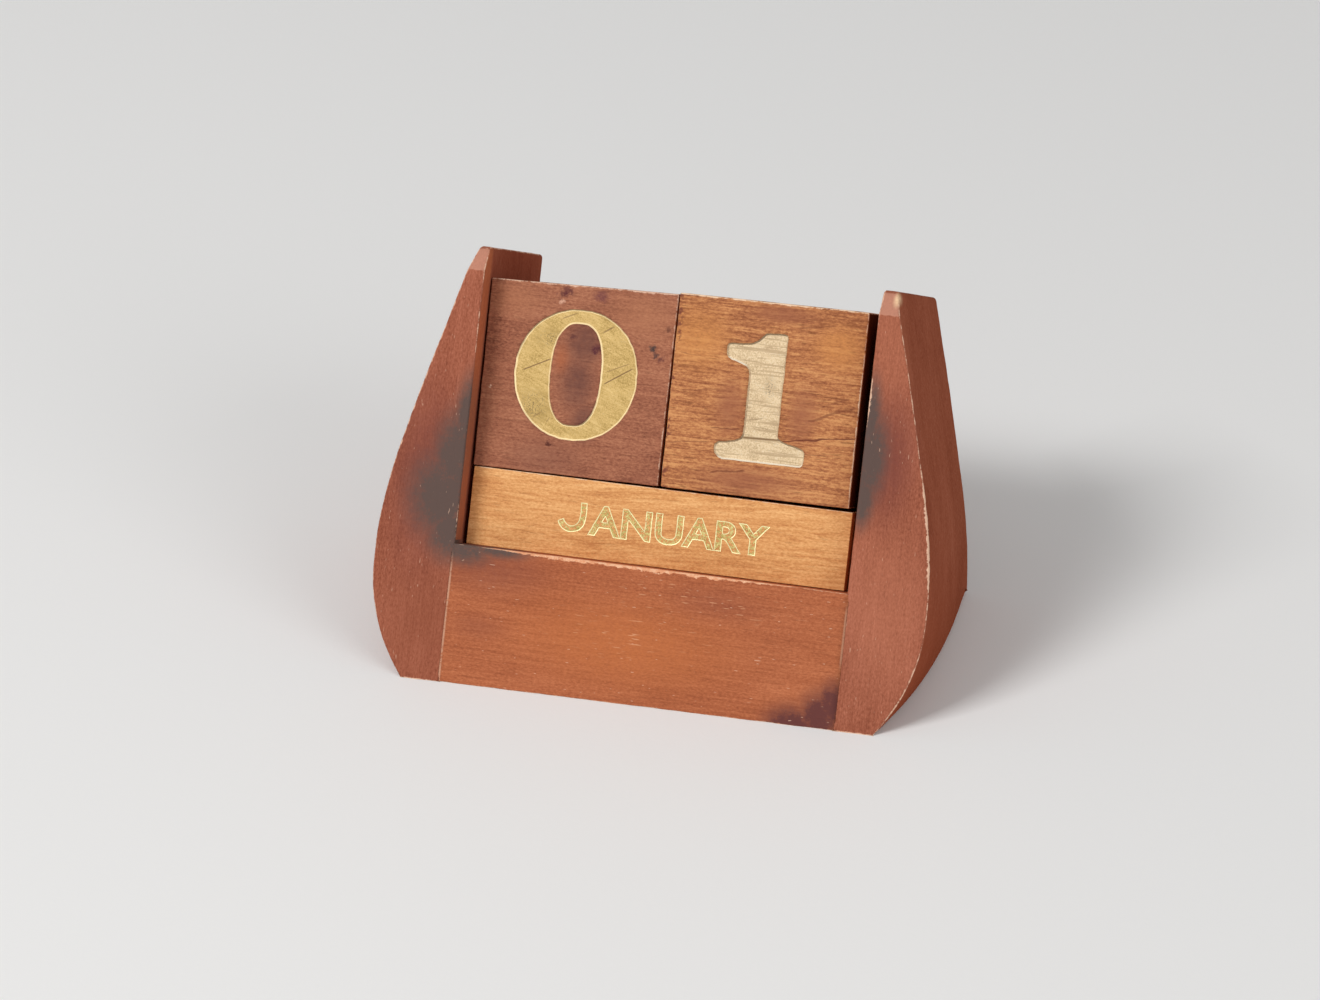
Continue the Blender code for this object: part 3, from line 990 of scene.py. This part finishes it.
def cheek_marks(finish, here, colour, ragged, low, high):
    """The facet rubbed paler than the face below, a painted lit strip on the inner face before the cubes, and painted
    shade on the inner face behind it and on the outer sides.
    """
    _, deep, tall = finish.parts(here)
    top = (CHEEK_TOP - FACET_HEIGHT) / MM
    rubbed = (tall + (ragged - 0.5) * 0.9).rise(top - 0.15, top + 0.15)
    facing = low[1].rise(0.30, 0.12)
    colour = finish.mix(rubbed * facing * 0.55, colour, (0.68, 0.34, 0.24))
    behind = deep.rise(0.2, 0.7)
    # Painted highlight: a lit strip on the inner face, between the front and the cubes.
    painted_lit_strip = low[0].rise(0.25, 0.10) * behind * deep.rise(6.5, 4.5)
    colour = finish.mix(painted_lit_strip * (0.2 + 0.6 * ragged), colour, (0.56, 0.16, 0.060))
    # Painted shade: the inner face is darkened behind the front, where the gap by the cubes lies in shadow.
    inside = low[0].rise(0.25, 0.10) * deep.rise(4.5, 6.5)
    colour = finish.mix(inside * 0.5, colour, (0.26, 0.052, 0.026))
    # Painted shade: the outer side faces are darkened, more towards the bottom.
    outside = high[0].rise(0.35, 0.15) * behind * (0.35 + 0.4 * tall.rise(45.0, 5.0))
    colour = finish.mix(outside, colour, (0.26, 0.055, 0.022))
    worn = finish.spot(here, (INNER_WIDTH / MM + 3.1, 1.6, CHEEK_TOP / MM - 1.6), (1.1, 6.0, 2.4))
    return finish.mix(worn * ragged * 1.6, colour, (0.95, 0.66, 0.40))


def tens_marks(finish, here, colour, ragged, low, high):
    """Small bruises and chips on the front of the tens cube."""
    front = finish.front_of(here, 6.2)
    astray = finish.node("CombineXYZ", inputs={
        "X": (finish.noise(here, 1.2, 4.0, 0.7) - 0.5) * 3.4,
        "Z": (ragged - 0.5) * 3.4,
    })
    here = finish.vector("ADD", here, astray)
    for x, z, reach, stain, strength in (
        (34.0, 27.0, 0.95, (0.08, 0.055, 0.05), 0.9),
        (34.5, 25.9, 0.75, (0.10, 0.055, 0.05), 0.7),
        (35.8, 25.0, 0.80, (0.11, 0.035, 0.04), 0.7),
        (15.4, 36.4, 1.4, (0.13, 0.04, 0.04), 0.9),
        (14.4, 35.6, 0.8, (0.12, 0.04, 0.04), 0.8),
        (22.4, 36.2, 1.8, (0.18, 0.06, 0.06), 0.7),
        (14.6, 34.4, 0.7, (0.72, 0.40, 0.28), 0.8),
        (22.6, 25.6, 1.2, (0.10, 0.03, 0.04), 0.8),
        (17.6, 27.4, 0.8, (0.11, 0.04, 0.04), 0.7),
        (14.8, 5.8, 0.7, (0.12, 0.04, 0.03), 1.0),
        (1.7, 16.0, 0.4, (0.78, 0.50, 0.36), 0.8),
        (36.7, 31.0, 1.0, (0.16, 0.06, 0.04), 0.7),
    ):
        spot = finish.spot(here, (TENS_CORNER.x + x, 5.7, TENS_CORNER.z + z), (reach * 1.3, 3.0, reach))
        colour = finish.mix(spot * ragged * strength * front * 2.2, colour, stain)
    return colour


def units_marks(finish, here, colour, ragged, low, high):
    """Fine checks along the grain of the units cube, knocks down its left arris, and painted shade on its right side,
    in the gap by the right cheek.
    """
    front = finish.front_of(here, 5.7)
    wavy = finish.node("CombineXYZ", inputs={
        "Z": (finish.noise(finish.drawn_out(here, ACROSS, 3.0), 0.5, 3.0) - 0.5) * 1.8,
    })
    there = finish.vector("ADD", here, wavy)
    for x, z, x_end, z_end, width, strength in (
        (23.2, 11.8, 38.5, 13.6, 0.19, 0.85),
        (0.0, 8.7, 9.0, 10.2, 0.16, 0.55),
        (8.6, 12.7, 15.3, 13.1, 0.16, 0.7),
        (28.0, 16.0, 37.4, 19.6, 0.32, 0.5),
        (30.0, 18.8, 36.4, 21.6, 0.30, 0.35),
        (9.6, 3.9, 17.0, 5.0, 0.22, 0.6),
        (24.0, 34.3, 32.0, 35.4, 0.3, 0.4),
        (27.0, 9.4, 33.0, 10.2, 0.16, 0.45),
        (1.0, 27.0, 6.0, 26.7, 0.16, 0.35),
        (2.0, 19.6, 13.0, 20.4, 0.22, 0.35),
    ):
        start = (UNITS_CORNER.x + x, UNITS_CORNER.z + z)
        end = (UNITS_CORNER.x + x_end, UNITS_CORNER.z + z_end)
        line = finish.scratch(there, start, end, width)
        colour = finish.mix(line * strength * front, colour, (0.15, 0.042, 0.028))
    knocks = finish.noise(here, 0.9, 3.0, 0.6).rise(0.54, 0.62) * low[0].rise(1.7, 0.6) * front
    colour = finish.mix(knocks * 0.7, colour, (0.15, 0.04, 0.035))
    # Painted shade: the right side face, in the narrow gap by the right cheek, is darkened to near black.
    side = high[0].rise(0.25, 0.05) * (1.0 - front)
    return finish.mix(side * 0.8, colour, (0.05, 0.016, 0.008))


def foil(name, tones, rim_colour, roughness, brush, bright=1.0, scratches=(), pits=(), grain_lines=0.0, thin=None):
    """Stamped metal foil: brushed, speckled, scratched, brighter where it turns up at the rim, with painted highlight
    on the walls that face up and left and painted shade on those that face away.

    brush: how much the strokes vary the tone. bright: how far the whole rim has paled. pits: soft spots where
    the foil is dotted dark. thin: shares of the middle and of the rim that have rubbed away."""
    finish = Finish(name)
    here = finish.place()
    mottle = finish.noise(here, 0.30, 5.0, 0.72)
    speckle = finish.noise(here, 3.4, 2.0, 0.65)
    strokes = finish.noise(finish.drawn_out(here, ACROSS, 7.0, math.radians(-24)), 2.8, 2.0, 0.6)
    dark, middle, light = tones
    tone = 0.5 + (mottle - 0.5) * 0.7 + (speckle - 0.5) * 1.1 + (strokes - 0.5) * brush
    colour = finish.node("ValToRGB", {"stops": [(0.2, dark), (0.8, light), (0.5, middle)]}, {"Fac": tone})
    lines = finish.noise(finish.drawn_out(here, ACROSS, 18.0), 2.8, 2.0, 0.5)
    colour = finish.mix(lines.rise(0.50, 0.64) * grain_lines, colour, dark)
    front = finish.front_of(here, 7.0)
    dots = speckle.rise(0.56, 0.68) * mottle.rise(0.48, 0.60) * 0.5
    if pits:
        dots = dots.most(speckle.rise(0.50, 0.60) * finish.blot(here, pits, 5.7, 9.0) * front)
    colour = finish.mix(dots * 0.8, colour, [part * 0.35 for part in dark])
    for start, end, width, strength in scratches:
        line = finish.scratch(here, start, end, width)
        colour = finish.mix(line * strength * front, colour, (0.17, 0.09, 0.03))
    rim = finish.node("Attribute", {"attribute_name": "rim"}, output="Fac")
    colour = finish.mix(rim.rise(0.2, 0.9) * (0.35 + mottle) * bright, colour, rim_colour)
    # Painted highlight on the stamp walls that face up and left, and painted shade on the walls that face away.
    facing = finish.vector("DOT_PRODUCT", finish.node("NewGeometry", output="Normal"), PAINTED_LIGHT_FROM, "Value")
    colour = finish.mix(facing.rise(0.25, 0.60) * front * 0.8, colour, rim_colour)
    colour = finish.mix(facing.rise(-0.20, -0.60) * front * 0.6, colour, [part * 0.5 for part in dark])
    height = mottle * 0.5 + speckle * 0.4 + strokes * 0.2 - lines * grain_lines
    alpha = None
    if thin:
        in_middle, at_rim = thin
        patchy = finish.noise(here, 1.9, 4.0, 0.7) + 0.5 - in_middle + rim.rise(0.1, 0.7) * (in_middle - at_rim)
        alpha = patchy.rise(0.47, 0.53)
    return finish.shade(colour, roughness + (mottle - 0.5) * 0.25, height, 0.015 * MM, alpha, Metallic=0.4)


def on_tens(x, z):
    """A point on the tens cube's front, from its low left corner, in millimetres."""
    return TENS_CORNER.x + x, TENS_CORNER.z + z


def on_units(x, z):
    """A point on the units cube's front, from its low left corner, in millimetres."""
    return UNITS_CORNER.x + x, UNITS_CORNER.z + z


GREY = (0.128, 0.085, 0.073)
PLUM = (0.215, 0.066, 0.050)

CHEEK_LOOK = {
    "streak": 0.30, "fibre": 0.40, "hair": 0.25, "speck": 1.10, "cloud": 0.75, "wander": 1.0, "slope": 0.0,
    "pore": 0.12, "fleck": 0.35, "worn": (0.88, 0.57, 0.40), "width": 0.55, "rough": 0.46, "gloss": 0.0,
}
RAIL_LOOK = dict(CHEEK_LOOK, hair=0.5, cloud=0.45, fleck=0.6, width=0.30)
TENS_LOOK = dict(
    CHEEK_LOOK, fibre=0.5, hair=0.35, speck=1.2, cloud=0.9, pore=0.22, fleck=0.0, worn=(0.80, 0.52, 0.38),
    width=0.45,
)
UNITS_LOOK = dict(
    CHEEK_LOOK, streak=0.6, fibre=1.1, hair=0.8, speck=1.2, cloud=0.8, wander=3.0, pore=0.40, fleck=0.0,
    worn=(0.94, 0.68, 0.47), width=0.50,
)
SLAT_LOOK = dict(
    CHEEK_LOOK, streak=0.7, fibre=1.0, hair=0.6, speck=1.1, cloud=0.4, wander=4.0, slope=math.radians(2.0),
    pore=0.18, fleck=0.0, worn=(0.96, 0.68, 0.46), width=0.30, gloss=0.1,
)
DOWEL_LOOK = dict(CHEEK_LOOK, worn=(0.7, 0.5, 0.3), width=0.1)


def cheek_finish():
    return wood(
        "cheek_wood", ((0.210, 0.057, 0.032), (0.352, 0.111, 0.063), (0.490, 0.172, 0.105)), UPWARDS, CHEEK_LOOK,
        1.0, extra=cheek_marks,
        stains=[
            ((0.520, 0.185, 0.105), 0.4, 0.0, [((43.0, 76.0), (9.0, 16.0)), ((47.0, 26.0), (13.0, 26.0))]),
            (PLUM, 0.75, 0.0, [((-47.0, 40.0), (11.0, 28.0)), ((45.0, 54.0), (8.0, 18.0))]),
            ((0.28, 0.084, 0.046), 0.5, 0.0, [((-45.0, 12.0), (13.0, 17.0))]),
            (GREY, 1.25, 0.0, [
                ((-40.0, 53.0), (4.0, 13.0)), ((-41.5, 45.0), (7.0, 14.0)), ((-43.5, 37.0), (10.5, 13.0)),
                ((-41.0, 30.0), (7.5, 9.0)), ((40.4, 62.0), (3.2, 12.0)), ((41.4, 54.0), (5.0, 14.0)),
                ((40.8, 46.0), (3.5, 9.0)),
            ]),
        ],
    )


def rail_finish():
    return wood(
        "rail_wood", ((0.290, 0.080, 0.038), (0.430, 0.131, 0.058), (0.570, 0.195, 0.090)), ACROSS, RAIL_LOOK,
        2.0, extra=rail_marks,
        stains=[
            ((0.560, 0.175, 0.060), 0.6, 0.0, [((-4.0, 12.0), (34.0, 13.0))]),
            (PLUM, 0.5, 0.0, [((-32.0, 24.0), (17.0, 8.0))]),
            (PLUM, 0.25, 0.0, [((14.0, 22.0), (14.0, 5.0)), ((-33.0, 12.0), (9.0, 4.0))]),
            (GREY, 1.1, 0.0, [((-38.0, 27.0), (9.0, 5.0)), ((-31.0, 27.4), (10.0, 2.4))]),
            ((0.150, 0.052, 0.046), 1.2, 0.0, [
                ((36.8, 2.0), (6.5, 8.5)), ((31.5, 0.0), (8.5, 6.5)), ((39.0, 5.0), (4.5, 7.5)),
            ]),
        ],
    )


def tens_finish():
    return wood(
        "tens_wood", ((0.200, 0.067, 0.042), (0.362, 0.137, 0.079), (0.500, 0.212, 0.120)), ACROSS, TENS_LOOK,
        3.0, extra=tens_marks,
        stains=[
            ((0.46, 0.19, 0.10), 0.5, 5.7, [(on_tens(31.0, 33.0), (11.0, 7.0)), (on_tens(5.0, 34.0), (9.0, 5.0))]),
            ((0.23, 0.080, 0.046), 0.2, 5.7, [(on_tens(3.0, 14.0), (6.0, 14.0))]),
            ((0.155, 0.066, 0.053), 0.75, 5.7, [
                (on_tens(20.0, 26.5), (6.0, 8.0)), (on_tens(19.5, 18.5), (5.5, 9.0)), (on_tens(21.5, 11.0), (4.5, 6.0)),
            ]),
            ((0.42, 0.12, 0.050), 0.5, 5.7, [(on_tens(15.6, 23.0), (2.4, 4.5))]),
            ((0.185, 0.075, 0.057), 0.35, 5.7, [(on_tens(14.5, 3.0), (12.0, 6.5))]),
        ],
    )


def units_finish():
    return wood(
        "units_wood", ((0.280, 0.096, 0.045), (0.500, 0.198, 0.083), (0.700, 0.330, 0.135)), ACROSS, UNITS_LOOK,
        4.0, extra=units_marks,
        stains=[
            ((0.66, 0.28, 0.09), 0.6, 5.2, [(on_units(4.5, 30.0), (10.0, 9.0)), (on_units(33.0, 31.0), (8.0, 7.0))]),
            ((0.36, 0.13, 0.070), 0.7, 5.2, [
                (on_units(21.0, 36.5), (10.0, 3.0)), (on_units(12.5, 17.0), (5.0, 9.0)),
                (on_units(17.0, 3.0), (16.0, 4.5)), (on_units(27.0, 17.0), (5.0, 9.0)),
            ]),
        ],
    )


def numeral_foils():
    gold = foil(
        "gold_foil", ((0.34, 0.215, 0.055), (0.53, 0.350, 0.115), (0.70, 0.49, 0.20)), (0.96, 0.75, 0.42), 0.42,
        0.6,
        scratches=[
            (on_tens(7.8, 19.8), on_tens(13.7, 22.8), 0.18, 0.9),
            (on_tens(24.5, 18.7), on_tens(30.5, 22.7), 0.18, 0.9),
            (on_tens(24.7, 21.2), on_tens(29.7, 23.5), 0.16, 0.55),
            (on_tens(23.2, 28.8), on_tens(25.9, 30.6), 0.22, 0.7),
            (on_tens(14.7, 30.8), on_tens(18.3, 32.5), 0.18, 0.6),
            (on_tens(10.8, 10.6), on_tens(12.9, 12.1), 0.20, 0.5),
            (on_tens(13.8, 9.8), on_tens(14.7, 11.4), 0.16, 0.5),
        ],
        pits=[(on_tens(11.0, 13.0), (5.0, 5.0)), (on_tens(13.0, 26.5), (4.0, 3.0))],
    )
    pale = foil(
        "pale_foil", ((0.42, 0.29, 0.160), (0.66, 0.49, 0.290), (0.85, 0.69, 0.47)), (0.99, 0.92, 0.78), 0.40, 0.2,
        bright=0.1,
        scratches=[
            (on_units(15.2, 11.5), on_units(23.6, 11.8), 0.26, 0.85),
            (on_units(16.0, 15.0), on_units(19.6, 15.8), 0.20, 0.45),
            (on_units(17.0, 13.9), on_units(22.0, 13.6), 0.16, 0.35),
        ],
        pits=[(on_units(20.0, 21.8), (1.8, 3.4))], grain_lines=0.75,
    )
    word = foil(
        "word_foil", ((0.34, 0.25, 0.06), (0.56, 0.44, 0.14), (0.84, 0.72, 0.32)), (0.96, 0.88, 0.48), 0.38, 0.3,
        thin=(0.50, 0.35),
    )
    return gold, pale, word


# Studio


def camera_and_lamps():
    scene = bpy.context.scene
    scene.view_settings.view_transform = "Standard"
    back = Vector((
        math.sin(CAMERA_AZIMUTH) * math.cos(CAMERA_ELEVATION),
        -math.cos(CAMERA_AZIMUTH) * math.cos(CAMERA_ELEVATION),
        math.sin(CAMERA_ELEVATION),
    ))
    camera = bpy.data.objects.new("camera", bpy.data.cameras.new("camera"))
    camera.data.lens = CAMERA_LENS
    camera.data.sensor_width = CAMERA_SENSOR
    camera.data.clip_end = 10.0
    camera.location = CAMERA_AIM + back * CAMERA_DISTANCE
    camera.rotation_euler = back.to_track_quat("Z", "Y").to_euler()
    scene.collection.objects.link(camera)
    scene.camera = camera
    for name, place, width, power in SOFT_BOXES:
        lamp = bpy.data.lights.new(name, "AREA")
        lamp.shape = "SQUARE"
        lamp.size = width
        lamp.energy = power
        box = bpy.data.objects.new(name, lamp)
        box.location = place
        box.rotation_euler = Vector(place).to_track_quat("Z", "Y").to_euler()
        scene.collection.objects.link(box)


def white_world():
    """White where the camera, a reflection or glass sees it, and a lower even light on the object."""
    world = bpy.data.worlds.new("studio")
    world.use_nodes = True
    bpy.context.scene.world = world
    nodes, links = world.node_tree.nodes, world.node_tree.links
    nodes.clear()
    path = nodes.new("ShaderNodeLightPath")
    seen = path.outputs["Is Camera Ray"]
    for ray in ("Is Glossy Ray", "Is Transmission Ray"):
        either = nodes.new("ShaderNodeMath")
        either.operation = "MAXIMUM"
        links.new(seen, either.inputs[0])
        links.new(path.outputs[ray], either.inputs[1])
        seen = either.outputs[0]
    level = nodes.new("ShaderNodeMapRange")
    level.inputs["To Min"].default_value = WORLD_LIGHT
    level.inputs["To Max"].default_value = 1.0
    links.new(seen, level.inputs["Value"])
    background = nodes.new("ShaderNodeBackground")
    background.inputs["Color"].default_value = (1.0, 1.0, 1.0, 1.0)
    links.new(level.outputs[0], background.inputs["Strength"])
    output = nodes.new("ShaderNodeOutputWorld")
    links.new(background.outputs[0], output.inputs["Surface"])


def paper_floor():
    bm = bmesh.new()
    bmesh.ops.create_grid(bm, x_segments=2, y_segments=2, size=FLOOR_SIZE / 2)
    paper = Finish("floor_paper")
    tooth = paper.noise(paper.node("TexCoord", output="Object"), 900.0, 2.0)
    new_object("floor", bm, [paper.shade(FLOOR_COLOUR, 0.9, tooth, 0.02 * MM)], Matrix())


# The whole calendar


def tray_pieces():
    cheek_wood = cheek_finish()
    rail_wood = rail_finish()
    cheek("left_cheek", -1, "cheek_left", CHEEK_LEFT_TOP_SPARE, left_wear, cheek_wood)
    cheek("right_cheek", 1, "cheek_right", CHEEK_RIGHT_TOP_SPARE, right_wear, cheek_wood)
    base_block(rail_wood)
    back_panel(rail_wood)
    dowel_tones = ((0.42, 0.26, 0.13), (0.56, 0.38, 0.21), (0.68, 0.50, 0.31))
    dowel_wood = wood("dowel_wood", dowel_tones, ACROSS, DOWEL_LOOK, 6.0)
    for name, node in frame["nodes"].items():
        if name.startswith("dowel"):
            for index in range(len(node.data.materials)):
                node.data.materials[index] = dowel_wood


def loose_pieces():
    gold, pale, word = numeral_foils()
    number_cube(
        "tens_cube_wood", "cube_tens", "tens_cube", TENS_FACES, TENS_STAMP,
        arris_wear(0.6, 1.2, 0.5, 1.7), (tens_finish(), gold),
        ((0.08, -0.05), (-0.1, -0.08), (-0.3, -0.5), (0.0, 0.3)), 21.0,
    )
    number_cube(
        "units_cube_wood", "cube_units", "units_cube", UNITS_FACES, UNITS_STAMP,
        arris_wear(0.5, 1.3, 0.5, 1.5), (units_finish(), pale),
        ((0.22, -0.05), (-0.1, -0.10), (-0.08, 0.15), (-0.3, 0.3)), 22.0,
    )
    slat_tones = ((0.560, 0.222, 0.075), (0.745, 0.352, 0.128), (0.915, 0.505, 0.212))
    slat_wood = wood("slat_wood", slat_tones, ACROSS, SLAT_LOOK, 5.0)
    for number in range(1, len(MONTHS) + 1):
        month_slat(number, slat_wood, word)


camera_and_lamps()
white_world()
paper_floor()
tray_pieces()
loose_pieces()
